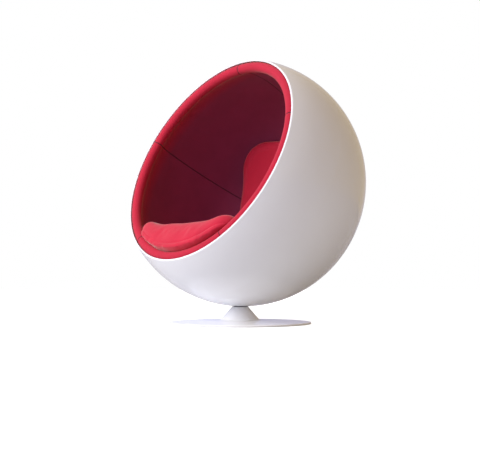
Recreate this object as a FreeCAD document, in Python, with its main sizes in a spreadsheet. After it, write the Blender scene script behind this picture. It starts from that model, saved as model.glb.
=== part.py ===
import FreeCAD, Part
import math
import os
import Sketcher

# Pod chair: an upholstered ball with one side cut open, turning on a trumpet base.
# Millimetres. The origin is the centre of the floor pad, +Z is up and the opening faces -Y.

doc = FreeCAD.newDocument("pod_chair")
sheet = doc.addObject("Spreadsheet::Sheet", "sizes")
parts = []


class Size:
    """A number together with the spreadsheet expression that gives it."""

    def __init__(self, value, text):
        self.value = value
        self.text = text

    def __add__(self, other):
        other = as_size(other)
        return Size(self.value + other.value, f"({self.text} + {other.text})")

    def __sub__(self, other):
        other = as_size(other)
        return Size(self.value - other.value, f"({self.text} - {other.text})")

    def __mul__(self, other):
        other = as_size(other)
        return Size(self.value * other.value, f"({self.text} * {other.text})")

    def __truediv__(self, other):
        other = as_size(other)
        return Size(self.value / other.value, f"({self.text} / {other.text})")

    def __neg__(self):
        return Size(-self.value, f"(0 - {self.text})")

    __radd__ = __add__
    __rmul__ = __mul__

    def __rsub__(self, other):
        return as_size(other) - self

    def __rtruediv__(self, other):
        return as_size(other) / self


def as_size(number):
    return number if isinstance(number, Size) else Size(float(number), f"{float(number)}")


def root(number):
    return Size(math.sqrt(number.value), f"sqrt({number.text})")


def length_of(x, y):
    return root(x * x + y * y)


def leg(hypotenuse, other_leg):
    return root(hypotenuse * hypotenuse - other_leg * other_leg)


size_rows = []


def size(name, value):
    """Write one driving dimension in the sheet and return it."""
    size_rows.append(name)
    row = len(size_rows)
    sheet.set(f"A{row}", name)
    sheet.set(f"B{row}", str(value))
    sheet.setAlias(f"B{row}", name)
    return Size(float(value), f"sizes.{name}")


# Ball and opening
ball_radius = size("ball_radius", 550.0)
shell_wall = size("shell_wall", 7.0)
ball_setback = size("ball_setback", 17.0)
rim_tilt = size("rim_tilt", 24.1)
rim_offset = size("rim_offset", 244.2)
rim_edge_round = size("rim_edge_round", 2.5)
boss_margin = size("boss_margin", 5.0)
boss_rise = size("boss_rise", 1.0)
shell_hole_gap = size("shell_hole_gap", 2.0)

# Lining
glue_gap = size("glue_gap", 0.2)
lining_foam_thickness = size("lining_foam_thickness", 25.0)
lining_fabric = size("lining_fabric", 3.0)
roll_radius = size("roll_radius", 19.0)
roll_inset = size("roll_inset", 18.8)
roll_setback = size("roll_setback", 21.2)
roll_blend_radius = size("roll_blend_radius", 120.0)
tack_strip_depth = size("tack_strip_depth", 24.0)
gore_count = size("gore_count", 5)
seam_gap_angle = size("seam_gap_angle", 0.05)
pocket_gap = size("pocket_gap", 0.7)

# Seat cushion
cushion_gap = size("cushion_gap", 0.4)
cover_thickness = size("cover_thickness", 2.5)
seat_tilt = size("seat_tilt", -32.0)
seat_half_width = size("seat_half_width", 322.0)
seat_front = size("seat_front", 214.0)
seat_back = size("seat_back", 380.0)
seat_front_corner = size("seat_front_corner", 85.0)
seat_back_corner = size("seat_back_corner", 130.0)
seat_front_thickness = size("seat_front_thickness", 147.0)
seat_back_thickness = size("seat_back_thickness", 176.0)
seat_dish_long = size("seat_dish_long", 640.0)
seat_dish_cross = size("seat_dish_cross", 1300.0)
seat_edge_round = size("seat_edge_round", 40.0)
seat_seam_depth = size("seat_seam_depth", 40.0)

# Back cushion
back_tilt = size("back_tilt", 84.0)
back_half_width = size("back_half_width", 356.0)
back_lower = size("back_lower", 350.0)
back_upper = size("back_upper", 308.0)
back_lower_corner = size("back_lower_corner", 110.0)
back_upper_corner = size("back_upper_corner", 150.0)
back_lower_thickness = size("back_lower_thickness", 130.0)
back_upper_thickness = size("back_upper_thickness", 104.0)
back_dish = size("back_dish", 640.0)
back_edge_round = size("back_edge_round", 34.0)
back_seam_depth = size("back_seam_depth", 52.0)
cushion_draw_in = size("cushion_draw_in", 9.0)
cushion_overrun = size("cushion_overrun", 20.0)

# Base
base_radius = size("base_radius", 319.5)
base_lift = size("base_lift", 1.0)
base_edge_height = size("base_edge_height", 8.6)
base_edge_round = size("base_edge_round", 2.0)
disc_inner_height = size("disc_inner_height", 16.6)
flare_radius = size("flare_radius", 84.0)
flare_run = size("flare_run", 14.0)
flare_rise = size("flare_rise", 6.9)
neck_radius = size("neck_radius", 38.0)
neck_top = size("neck_top", 76.2)
neck_edge = size("neck_edge", 1.0)
neck_gap = size("neck_gap", 1.2)
casting_wall = size("casting_wall", 5.0)
cone_wall = size("cone_wall", 6.5)
hub_wall = size("hub_wall", 16.0)
hub_roof = size("hub_roof", 9.0)
pad_margin = size("pad_margin", 11.5)
pad_thickness = size("pad_thickness", 3.0)
pad_recess_gap = size("pad_recess_gap", 2.0)
rim_land = size("rim_land", 20.0)

# Ballast plate and its screws
ballast_headroom = size("ballast_headroom", 0.6)
ballast_bore = size("ballast_bore", 50.0)
ballast_thickness = size("ballast_thickness", 5.0)
ballast_clearance = size("ballast_clearance", 0.2)
ballast_screw_count = size("ballast_screw_count", 4)
ballast_screw_circle = size("ballast_screw_circle", 118.0)
ballast_screw_radius = size("ballast_screw_radius", 2.5)
ballast_screw_head = size("ballast_screw_head", 4.8)
ballast_screw_length = size("ballast_screw_length", 9.0)
ballast_boss_wall = size("ballast_boss_wall", 5.5)

# Swivel
spindle_radius = size("spindle_radius", 15.0)
journal_radius = size("journal_radius", 12.0)
thread_radius = size("thread_radius", 10.0)
shoulder_depth = size("shoulder_depth", 3.0)
thread_chamfer = size("thread_chamfer", 1.5)
thread_past_nut = size("thread_past_nut", 2.9)
spindle_clearance = size("spindle_clearance", 3.0)
running_clearance = size("running_clearance", 0.05)
race_bore_clearance = size("race_bore_clearance", 1.0)
bearing_radius = size("bearing_radius", 26.0)
bearing_depth = size("bearing_depth", 15.2)
race_height = size("race_height", 6.4)
bearing_ball_radius = size("bearing_ball_radius", 3.95)
bearing_ball_count = size("bearing_ball_count", 12)
race_setback = size("race_setback", 1.5)
cage_thickness = size("cage_thickness", 2.2)
cage_margin = size("cage_margin", 0.75)
bush_wall = size("bush_wall", 3.0)
bush_length = size("bush_length", 15.0)
bush_flange = size("bush_flange", 3.0)
bush_flange_width = size("bush_flange_width", 6.0)
retainer_gap = size("retainer_gap", 0.1)
retainer_thickness = size("retainer_thickness", 3.0)
nut_height = size("nut_height", 9.0)
nut_flats = size("nut_flats", 30.0)
plate_radius = size("plate_radius", 80.0)
plate_thickness = size("plate_thickness", 6.0)
plate_boss_wall = size("plate_boss_wall", 12.0)
bolt_circle = size("bolt_circle", 62.0)
bolt_count = size("bolt_count", 6)
bolt_radius = size("bolt_radius", 4.0)
bolt_hole_clearance = size("bolt_hole_clearance", 0.4)
bolt_head_radius = size("bolt_head_radius", 6.5)
bolt_head_height = size("bolt_head_height", 5.3)
bolt_socket_radius = size("bolt_socket_radius", 2.4)
bolt_socket_depth = size("bolt_socket_depth", 2.6)
bolt_end_gap = size("bolt_end_gap", 1.0)
washer_radius = size("washer_radius", 8.0)
washer_thickness = size("washer_thickness", 1.6)
insert_radius = size("insert_radius", 6.0)
insert_length = size("insert_length", 8.0)
fit_gap = size("fit_gap", 0.02)
seal_margin = size("seal_margin", 1.5)
seal_width = size("seal_width", 5.5)
seal_gap = size("seal_gap", 0.2)
cut_margin = size("cut_margin", 1.0)
doc.recompute()

# Worked out from the driving dimensions
ball_height = neck_top + neck_gap + ball_radius
shell_inner = ball_radius - shell_wall
foam_outer = shell_inner - glue_gap
foam_inner = foam_outer - lining_foam_thickness
fabric_outer = foam_inner - glue_gap
fabric_inner = fabric_outer - lining_fabric
rim_radius = leg(ball_radius, rim_offset)
roll_ring = rim_radius - shell_wall - roll_inset
roll_level = rim_offset - roll_setback
seat_ball = fabric_inner - cushion_gap
boss_radius = plate_radius + boss_margin
boss_top = ball_height - leg(shell_inner, plate_radius + boss_rise + ball_setback)
plate_boss_radius = spindle_radius + plate_boss_wall
bearing_floor = neck_top - bearing_depth
bearing_centre = bearing_floor + race_height + race_setback
bearing_top = bearing_centre + race_setback + race_height
bearing_pitch_radius = (spindle_radius + bearing_radius) * 0.5
bush_inner = journal_radius + running_clearance
bush_outer = bush_inner + bush_wall
bush_flange_radius = bush_outer + bush_flange_width
nut_bottom = pad_thickness + spindle_clearance + thread_past_nut
retainer_bottom = nut_bottom + nut_height
retainer_top = retainer_bottom + retainer_thickness
hub_bottom = retainer_top + retainer_gap + bush_flange
zero = as_size(0.0)


def bind(thing, name, number):
    setattr(thing, name, number.value)
    thing.setExpression(name, number.text)


def place(thing, x=zero, y=zero, z=zero, about="z", angle=zero, turn=zero, drop=zero):
    """Move a thing to x, y, z, tilted about one axis after a turn and a drop on its own z."""
    axis = {"x": "1; 0; 0", "y": "0; 1; 0", "z": "0; 0; 1"}[about]
    tilted = f"placement(vector({x.text}; {y.text}; {z.text}); rotation(vector({axis}); {angle.text}))"
    own = f"placement(vector(0; 0; {drop.text}); rotation(vector(0; 0; 1); {turn.text}))"
    thing.setExpression("Placement", f"{tilted} * {own}")


def place_in_ball(thing, turn=zero, drop=zero):
    """The thing's own z axis becomes the axis of the opening, from the ball's centre."""
    place(thing, y=ball_setback, z=ball_height, about="x", angle=90 - rim_tilt, turn=turn, drop=drop)


def finish(thing, label):
    """Name a finished sub-part and keep it for export."""
    thing.Label = label
    parts.append(thing)
    return thing


def cylinder(name, radius, bottom, top, x=zero, y=zero):
    solid = doc.addObject("Part::Cylinder", name)
    bind(solid, "Radius", radius)
    bind(solid, "Height", top - bottom)
    place(solid, x=x, y=y, z=bottom)
    return solid


def ball(name, radius, x=zero, y=zero, z=zero):
    solid = doc.addObject("Part::Sphere", name)
    bind(solid, "Radius", radius)
    place(solid, x=x, y=y, z=z)
    return solid


def cut(name, base, tool):
    result = doc.addObject("Part::Cut", name)
    result.Base = base
    result.Tool = tool
    return result


def join(name, shapes):
    result = doc.addObject("Part::MultiFuse", name)
    result.Shapes = shapes
    return result


def common(name, shapes):
    result = doc.addObject("Part::MultiCommon", name)
    result.Shapes = shapes
    return result


def group(name, solids):
    result = doc.addObject("Part::Compound", name)
    result.Links = solids
    return result


def draw(sketch, corners):
    """Draw a closed outline. A corner is (x, y), or (x, y, radius, centre x, centre y) where the
    stretch that leads on from it is an arc of less than a half circle."""
    count = len(corners)
    first_ends = []
    for index, corner in enumerate(corners):
        following = corners[(index + 1) % count]
        start = FreeCAD.Vector(corner[0].value, corner[1].value, 0)
        end = FreeCAD.Vector(following[0].value, following[1].value, 0)
        if len(corner) == 2:
            sketch.addGeometry(Part.LineSegment(start, end))
            first_ends.append(1)
            continue
        centre = FreeCAD.Vector(corner[3].value, corner[4].value, 0)
        leftward = (start - centre).cross(end - centre).z > 0
        first, last = (start, end) if leftward else (end, start)
        first_angle = math.atan2(first.y - centre.y, first.x - centre.x)
        last_angle = math.atan2(last.y - centre.y, last.x - centre.x)
        if last_angle < first_angle:
            last_angle += 2 * math.pi
        circle = Part.Circle(centre, FreeCAD.Vector(0, 0, 1), corner[2].value)
        sketch.addGeometry(Part.ArcOfCircle(circle, first_angle, last_angle))
        first_ends.append(1 if leftward else 2)
    for index, corner in enumerate(corners):
        before = (index - 1) % count
        sketch.addConstraint(Sketcher.Constraint(
            "Coincident", before, 3 - first_ends[before], index, first_ends[index]))
        for kind, coordinate in (("DistanceX", corner[0]), ("DistanceY", corner[1])):
            number = sketch.addConstraint(Sketcher.Constraint(
                kind, -1, 1, index, first_ends[index], coordinate.value))
            sketch.setExpression(f"Constraints[{number}]", coordinate.text)
        if len(corner) > 2:
            number = sketch.addConstraint(Sketcher.Constraint("Radius", index, corner[2].value))
            sketch.setExpression(f"Constraints[{number}]", corner[2].text)


def turned(name, corners, sweep=None):
    """A body whose outline, in (radius, height), is turned about its own z axis."""
    body = doc.addObject("PartDesign::Body", name)
    sketch = body.newObject("Sketcher::SketchObject", name + "_outline")
    plane = [feature for feature in body.Origin.OriginFeatures if feature.Role == "XZ_Plane"][0]
    sketch.AttachmentSupport = [(plane, "")]
    sketch.MapMode = "FlatFace"
    draw(sketch, corners)
    revolution = body.newObject("PartDesign::Revolution", name + "_turned")
    revolution.Profile = sketch
    revolution.ReferenceAxis = (sketch, ["V_Axis"])
    revolution.Angle = 360
    if sweep is not None:
        bind(revolution, "Angle", sweep)
    body.Tip = revolution
    return body


def ring(name, inner, outer, bottom, top):
    return turned(name, [(inner, bottom), (outer, bottom), (outer, top), (inner, top)])


def around(name, count, make):
    """The same solid at even steps round the vertical axis. make() takes a name and an angle."""
    whole = int(count.value)
    return [make(f"{name}_{index + 1}", 360.0 / whole * index) for index in range(whole)]


def on_circle(radius, degrees):
    spot = math.radians(degrees)
    return radius * math.cos(spot), radius * math.sin(spot)


def pegs(name, count, circle, radius, bottom, top):
    def peg(peg_name, degrees):
        x, y = on_circle(circle, degrees)
        return cylinder(peg_name, radius, bottom, top, x, y)
    return around(name, count, peg)


# The shell: a glass-fibre ball, cut open at the front, with a thick flat boss at the bottom
rim_inner_radius = leg(shell_inner, rim_offset)
edge = rim_edge_round
wall_section = turned("shell_wall_ring", [
    (zero, -ball_radius, ball_radius, zero, zero),
    (ball_radius, zero, ball_radius, zero, zero),
    (leg(ball_radius, rim_offset - edge), rim_offset - edge),
    (rim_radius - edge, rim_offset),
    (rim_inner_radius + edge, rim_offset),
    (leg(shell_inner, rim_offset - edge), rim_offset - edge, shell_inner, zero, zero),
    (shell_inner, zero, shell_inner, zero, zero),
    (zero, -shell_inner)])
place_in_ball(wall_section)
boss_round = ball("boss_round", ball_radius - 0.5 * shell_wall, y=ball_setback, z=ball_height)
boss_block = cylinder("boss_block", boss_radius, zero, boss_top)
boss = common("boss", [boss_round, boss_block])
shell_blank = join("shell_blank", [wall_section, boss])
insert_holes = pegs("insert_hole", bolt_count, bolt_circle, insert_radius + fit_gap,
                    boss_top - insert_length, boss_top + cut_margin)
shell_hole = cylinder("shell_hole", plate_boss_radius + shell_hole_gap, zero, boss_top + cut_margin)
finish(cut("shell_cut", shell_blank, join("shell_holes", [shell_hole] + insert_holes)), "shell")

# Threaded inserts laminated in the boss, and the bolts that hold the swivel plate
insert_blanks = pegs("insert_blank", bolt_count, bolt_circle, insert_radius,
                     boss_top - insert_length, boss_top)
insert_bores = pegs("insert_bore", bolt_count, bolt_circle, bolt_radius + fit_gap,
                    boss_top - insert_length, boss_top)
inserts = [cut(f"insert_{index}", blank, bore)
           for index, (blank, bore) in enumerate(zip(insert_blanks, insert_bores))]
finish(group("inserts", inserts), "threaded_inserts")

plate_top = boss_top + plate_thickness
washer_top = plate_top + washer_thickness
head_top = washer_top + bolt_head_height
bolt_bottom = boss_top - insert_length + bolt_end_gap
shanks = pegs("shank", bolt_count, bolt_circle, bolt_radius, bolt_bottom, head_top)
heads = pegs("head", bolt_count, bolt_circle, bolt_head_radius, washer_top, head_top)
sockets = pegs("socket", bolt_count, bolt_circle, bolt_socket_radius, head_top - bolt_socket_depth, head_top)
bolts = [cut(f"bolt_{index}", join(f"bolt_blank_{index}", [shank, head]), socket)
         for index, (shank, head, socket) in enumerate(zip(shanks, heads, sockets))]
finish(group("bolts", bolts), "plate_bolts")

washer_blanks = pegs("washer_blank", bolt_count, bolt_circle, washer_radius, plate_top, washer_top)
washer_holes = pegs("washer_hole", bolt_count, bolt_circle, bolt_radius + fit_gap, plate_top, washer_top)
washers = [cut(f"washer_{index}", blank, hole)
           for index, (blank, hole) in enumerate(zip(washer_blanks, washer_holes))]
finish(group("washers", washers), "plate_washers")

# Swivel plate with the boss that stands on the thrust bearing
plate_blank = turned("plate_blank", [
    (spindle_radius + fit_gap, bearing_top), (plate_boss_radius, bearing_top),
    (plate_boss_radius, boss_top), (plate_radius, boss_top),
    (plate_radius, plate_top), (spindle_radius + fit_gap, plate_top)])
plate_holes = pegs("plate_hole", bolt_count, bolt_circle, bolt_radius + bolt_hole_clearance,
                   boss_top - cut_margin, plate_top + cut_margin)
finish(cut("plate_cut", plate_blank, join("plate_hole_set", plate_holes)), "swivel_plate")

# Stepped spindle pressed in the plate, with its journal, thread and chamfered end
journal_top = bearing_floor - shoulder_depth
spindle_bottom = nut_bottom - thread_past_nut
finish(turned("spindle_body", [
    (zero, spindle_bottom), (thread_radius - thread_chamfer, spindle_bottom),
    (thread_radius, spindle_bottom + thread_chamfer), (thread_radius, retainer_top),
    (journal_radius, retainer_top), (journal_radius, journal_top),
    (spindle_radius, journal_top), (spindle_radius, plate_top), (zero, plate_top)]), "spindle")

# Thrust bearing: a race in the base, a race under the plate, and the caged balls between them
race_outer = bearing_radius - running_clearance
lower_race_top = bearing_centre - race_setback
upper_race_bottom = bearing_centre + race_setback
groove_radius = bearing_ball_radius + running_clearance


def groove(name):
    torus = doc.addObject("Part::Torus", name)
    bind(torus, "Radius1", bearing_pitch_radius)
    bind(torus, "Radius2", groove_radius)
    place(torus, z=bearing_centre)
    return torus


lower_blank = ring("lower_race_blank", spindle_radius + race_bore_clearance, race_outer,
                   bearing_floor, lower_race_top)
finish(cut("lower_race_cut", lower_blank, groove("lower_groove")), "lower_bearing_race")
upper_blank = ring("upper_race_blank", spindle_radius + fit_gap, race_outer - race_bore_clearance,
                   upper_race_bottom, bearing_top)
finish(cut("upper_race_cut", upper_blank, groove("upper_groove")), "upper_bearing_race")


def bearing_ball(name, degrees, radius):
    x, y = on_circle(bearing_pitch_radius, degrees)
    return ball(name, radius, x, y, bearing_centre)


balls = around("bearing_ball", bearing_ball_count,
               lambda name, angle: bearing_ball(name, angle, bearing_ball_radius))
finish(group("ball_set", balls), "bearing_balls")
pockets = around("cage_pocket", bearing_ball_count,
                 lambda name, angle: bearing_ball(name, angle, groove_radius))
cage_reach = bearing_ball_radius + cage_margin
cage_blank = ring("cage_blank", bearing_pitch_radius - cage_reach, bearing_pitch_radius + cage_reach,
                  bearing_centre - cage_thickness * 0.5, bearing_centre + cage_thickness * 0.5)
finish(cut("cage_cut", cage_blank, join("cage_pockets", pockets)), "bearing_cage")

# Bushes in the hub: a plain one under the spindle's shoulder and a flanged one over the washer
finish(ring("upper_bush_body", bush_inner, bush_outer, journal_top - fit_gap - bush_length,
            journal_top - fit_gap), "upper_bush")
finish(turned("lower_bush_body", [
    (bush_inner, hub_bottom - bush_flange), (bush_flange_radius, hub_bottom - bush_flange),
    (bush_flange_radius, hub_bottom), (bush_outer, hub_bottom),
    (bush_outer, hub_bottom + bush_length), (bush_inner, hub_bottom + bush_length)]), "lower_bush")

# Washer and nut that keep the ball on its base
finish(ring("retainer", thread_radius + fit_gap, bush_flange_radius, retainer_bottom, retainer_top),
       "spindle_washer")
nut_blank = doc.addObject("Part::Prism", "nut_blank")
nut_blank.Polygon = 6
bind(nut_blank, "Circumradius", nut_flats / math.sqrt(3.0))
bind(nut_blank, "Height", nut_height)
place(nut_blank, z=nut_bottom)
nut_bore = cylinder("nut_bore", thread_radius + fit_gap, nut_bottom, retainer_bottom)
finish(cut("nut_cut", nut_blank, nut_bore), "spindle_nut")

# Pedestal: cast disc, flared neck and hub in one piece, hollow underneath. The flare is an arc
# tangent to the neck's cone.
disc_inner_radius = flare_radius + flare_run
flare_height = disc_inner_height + flare_rise
cone_run = flare_radius - neck_radius
cone_drop = neck_top - neck_edge - flare_height
cone_length = length_of(cone_run, cone_drop)
flare_arc = ((flare_run * flare_run + flare_rise * flare_rise) * cone_length
             / (2 * (flare_run * cone_drop - flare_rise * cone_run)))
flare_centre_x = flare_radius + flare_arc * cone_drop / cone_length
flare_centre_y = flare_height + flare_arc * cone_run / cone_length
hub_radius = bush_outer + hub_wall
slope = (disc_inner_height - base_edge_height) / (base_radius - disc_inner_radius)
cavity_outer = base_radius - rim_land
cavity_ceiling = base_edge_height + slope * rim_land - casting_wall
bowl_inner_height = disc_inner_height - casting_wall
pad_radius = base_radius - pad_margin
pedestal_blank = turned("pedestal_blank", [
    (bearing_radius, neck_top), (bearing_radius, bearing_floor),
    (bush_outer + fit_gap, bearing_floor), (bush_outer + fit_gap, hub_bottom),
    (hub_radius, hub_bottom), (hub_radius, bearing_floor - hub_roof),
    (flare_radius - cone_wall, flare_height - cone_wall * cone_run / cone_drop * 0.5),
    (disc_inner_radius, bowl_inner_height),
    (cavity_outer, cavity_ceiling), (cavity_outer, pad_thickness),
    (pad_radius + pad_recess_gap, pad_thickness), (pad_radius + pad_recess_gap, base_lift),
    (base_radius - base_edge_round, base_lift), (base_radius, base_lift + base_edge_round),
    (base_radius, base_edge_height - base_edge_round), (base_radius - base_edge_round, base_edge_height),
    (disc_inner_radius, disc_inner_height, flare_arc, flare_centre_x, flare_centre_y),
    (flare_radius, flare_height),
    (neck_radius, neck_top - neck_edge), (neck_radius - neck_edge, neck_top)])
ballast_bottom = pad_thickness + ballast_clearance
ballast_top = ballast_bottom + ballast_thickness
ballast_room = bowl_inner_height - ballast_top - ballast_headroom
ballast_radius = disc_inner_radius + ballast_room * (cavity_outer - disc_inner_radius) / (
    bowl_inner_height - cavity_ceiling)
boss_pegs = pegs("ballast_boss", ballast_screw_count, ballast_screw_circle,
                 ballast_screw_radius + ballast_boss_wall, ballast_top,
                 bowl_inner_height + casting_wall * 0.5)
screw_top = ballast_bottom + ballast_screw_length
screw_holes = pegs("ballast_screw_hole", ballast_screw_count, ballast_screw_circle,
                   ballast_screw_radius + fit_gap, ballast_top - cut_margin, screw_top)
pedestal_solid = join("pedestal_solid", [pedestal_blank] + boss_pegs)
finish(cut("pedestal_cut", pedestal_solid, join("ballast_screw_holes", screw_holes)), "pedestal_base")

# Steel ballast plate under the disc, and the countersunk screws that hold it
plate_ring = ring("ballast_ring", ballast_bore, ballast_radius, ballast_bottom, ballast_top)
sink_depth = ballast_screw_head - ballast_screw_radius


def countersunk(name, degrees, gap):
    x, y = on_circle(ballast_screw_circle, degrees)
    cone = doc.addObject("Part::Cone", name + "_cone")
    bind(cone, "Radius1", ballast_screw_head + gap)
    bind(cone, "Radius2", ballast_screw_radius + gap)
    bind(cone, "Height", sink_depth)
    place(cone, x=x, y=y, z=ballast_bottom)
    shank = cylinder(name + "_shank", ballast_screw_radius + gap, ballast_bottom, screw_top, x, y)
    return join(name, [cone, shank])


screws = around("ballast_screw", ballast_screw_count, lambda name, angle: countersunk(name, angle, zero))
finish(group("screw_set", screws), "ballast_screws")
sinks = around("ballast_sink", ballast_screw_count, lambda name, angle: countersunk(name, angle, fit_gap))
finish(cut("ballast_cut", plate_ring, join("ballast_sinks", sinks)), "ballast_plate")

finish(ring("pad_body", zero, pad_radius, zero, pad_thickness), "floor_pad")

# Felt ring on top of the neck, just clear of the shell as the ball turns
seal_outer_radius = neck_radius - seal_margin
seal_inner_radius = seal_outer_radius - seal_width
seal_top = ball_height - leg(ball_radius, seal_inner_radius - ball_setback) - seal_gap
finish(ring("seal_body", seal_inner_radius, seal_outer_radius, neck_top, seal_top), "dust_seal")

# Lining foam, thickened to carry the padded roll round the opening. The roll's round section is
# centred at roll_ring, roll_level. A blend arc is tangent to the foam's inner ball and to the roll.
roll_reach = length_of(roll_ring, roll_level)
blend_reach = foam_inner - roll_blend_radius
blend_to_roll = roll_blend_radius + roll_radius
along = ((blend_reach * blend_reach + roll_reach * roll_reach - blend_to_roll * blend_to_roll)
         / (2 * roll_reach))
across = leg(blend_reach, along)
blend_x = (roll_ring * along + roll_level * across) / roll_reach
blend_y = (roll_level * along - roll_ring * across) / roll_reach
blend_start_x = blend_x * foam_inner / blend_reach
blend_start_y = blend_y * foam_inner / blend_reach
touch_x = roll_ring + (blend_x - roll_ring) * roll_radius / blend_to_roll
touch_y = roll_level + (blend_y - roll_level) * roll_radius / blend_to_roll
foam_end = roll_level - roll_radius - glue_gap
foam_end_inner = blend_x + leg(roll_blend_radius, foam_end - blend_y)
foam_blank = turned("foam_blank", [
    (zero, -foam_outer, foam_outer, zero, zero),
    (foam_outer, zero, foam_outer, zero, zero),
    (leg(foam_outer, foam_end), foam_end),
    (foam_end_inner, foam_end, roll_blend_radius, blend_x, blend_y),
    (blend_start_x, blend_start_y, foam_inner, zero, zero),
    (foam_inner, zero, foam_inner, zero, zero),
    (zero, -foam_inner)])
place_in_ball(foam_blank)
foam_pocket = cylinder("foam_pocket", boss_radius + pocket_gap, zero, head_top + pocket_gap)
finish(cut("foam_cut", foam_blank, foam_pocket), "lining_foam")

roll = doc.addObject("Part::Torus", "roll")
bind(roll, "Radius1", roll_ring)
bind(roll, "Radius2", roll_radius)
place_in_ball(roll, drop=roll_level)
finish(roll, "rim_roll_foam")

# Strip inside the edge of the shell, to which the lining is tacked
strip_inner = roll_ring + roll_radius + lining_fabric + 2 * glue_gap
strip_bottom = foam_end + glue_gap
strip_top = strip_bottom + tack_strip_depth
strip = turned("strip_body", [
    (strip_inner, strip_bottom), (leg(foam_outer, strip_bottom), strip_bottom, foam_outer, zero, zero),
    (leg(foam_outer, strip_top), strip_top), (strip_inner, strip_top)])
place_in_ball(strip)
finish(strip, "tack_strip")

# Gores of the fabric lining, from the pole at the back round the roll to the tack strip
cloth_outer_blend = roll_blend_radius - glue_gap
cloth_inner_blend = cloth_outer_blend - lining_fabric
cloth_inner_roll = roll_radius + glue_gap
cloth_outer_roll = cloth_inner_roll + lining_fabric


def from_roll(point_x, point_y, radius):
    """The point at a radius from the roll's centre, towards the given point."""
    reach = length_of(point_x - roll_ring, point_y - roll_level)
    return (roll_ring + (point_x - roll_ring) * radius / reach,
            roll_level + (point_y - roll_level) * radius / reach)


inner_touch = from_roll(blend_x, blend_y, cloth_outer_roll)
outer_touch = from_roll(blend_x, blend_y, cloth_inner_roll)
pole_gap = lining_fabric * 0.5
gore_outline = [
    (pole_gap, -leg(fabric_outer, pole_gap), fabric_outer, zero, zero),
    (fabric_outer, zero, fabric_outer, zero, zero),
    (blend_x * fabric_outer / blend_reach, blend_y * fabric_outer / blend_reach,
     cloth_outer_blend, blend_x, blend_y),
    outer_touch + (cloth_inner_roll, roll_ring, roll_level),
    (roll_ring, roll_level + cloth_inner_roll, cloth_inner_roll, roll_ring, roll_level),
    (roll_ring + cloth_inner_roll, roll_level),
    (roll_ring + cloth_outer_roll, roll_level, cloth_outer_roll, roll_ring, roll_level),
    (roll_ring, roll_level + cloth_outer_roll, cloth_outer_roll, roll_ring, roll_level),
    inner_touch + (cloth_inner_blend, blend_x, blend_y),
    (blend_x * fabric_inner / blend_reach, blend_y * fabric_inner / blend_reach,
     fabric_inner, zero, zero),
    (fabric_inner, zero, fabric_inner, zero, zero),
    (pole_gap, -leg(fabric_inner, pole_gap))]
gore_angle = 360 / gore_count
for index in range(int(gore_count.value)):
    gore = turned(f"gore_{index + 1}", gore_outline, sweep=gore_angle - seam_gap_angle)
    first_seam = 90 - gore_angle
    place_in_ball(gore, turn=first_seam - gore_angle * index + seam_gap_angle * 0.5)
    finish(gore, f"lining_panel_{index + 1}")


def bowl(name, clearance):
    """The room inside the lining and its roll, open to the front, less a clearance."""
    blend_gap = roll_blend_radius - glue_gap - lining_fabric - clearance
    roll_gap = cloth_outer_roll + clearance
    inner = fabric_inner - clearance
    touch = from_roll(blend_x, blend_y, roll_gap)
    room = turned(name, [
        (zero, -inner, inner, zero, zero),
        (inner, zero, inner, zero, zero),
        (blend_x * inner / blend_reach, blend_y * inner / blend_reach, blend_gap, blend_x, blend_y),
        touch + (roll_gap, roll_ring, roll_level),
        (roll_ring - roll_gap, roll_level),
        (roll_ring - roll_gap, ball_radius), (zero, ball_radius)])
    place_in_ball(room)
    return room


def cushion_outline(name, tilt, half_width, half_length, low_corner, high_corner, middle, level):
    """A square with rounded corners, across the cushion's own z axis."""
    sketch = doc.addObject("Sketcher::SketchObject", name)
    low_x = half_width - low_corner
    low_y = middle - half_length + low_corner
    high_x = half_width - high_corner
    high_y = middle + half_length - high_corner
    draw(sketch, [
        (low_x, middle - half_length, low_corner, low_x, low_y),
        (half_width, low_y),
        (half_width, high_y, high_corner, high_x, high_y),
        (high_x, middle + half_length),
        (-high_x, middle + half_length, high_corner, -high_x, high_y),
        (-half_width, high_y),
        (-half_width, low_y, low_corner, -low_x, low_y),
        (-low_x, middle - half_length)])
    place(sketch, y=ball_setback, z=ball_height, about="x", angle=tilt, drop=level)
    return sketch


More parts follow.
